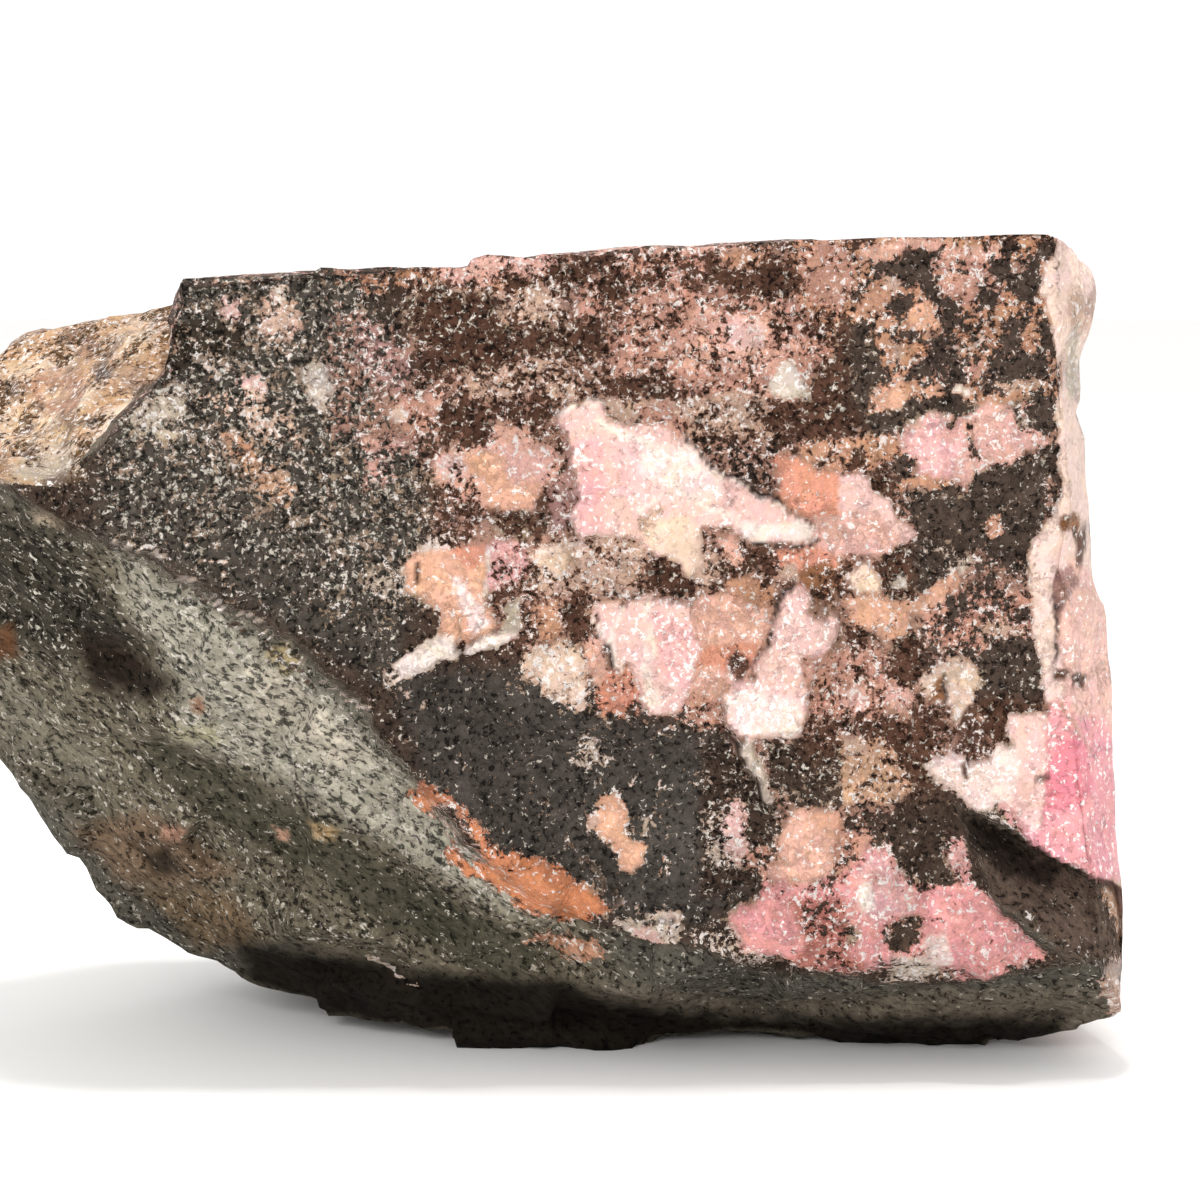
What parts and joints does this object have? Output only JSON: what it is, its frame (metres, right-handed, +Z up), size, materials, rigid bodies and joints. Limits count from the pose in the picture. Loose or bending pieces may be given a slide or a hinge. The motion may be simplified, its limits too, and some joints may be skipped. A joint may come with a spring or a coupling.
{
  "type": "rough rhodonite",
  "caption": "Broken block of rough rhodonite: flat pink and black front, a schist slope at the lower left and a tan lump at the left end.",
  "frame": {"origin": "centre of the bounding box at the surface the stone rests on", "axes": "+X along the stone towards its squared end, +Y from the pink front face to the back, +Z up from the resting surface"},
  "size_m": [0.1322, 0.0644, 0.0885],
  "materials": {
    "rhodonite": "broken stone, dull with small glossy crystal faces"
  },
  "bodies": {
    "root": {"rhodonite_stone": "rhodonite"}
  },
  "joints": []
}
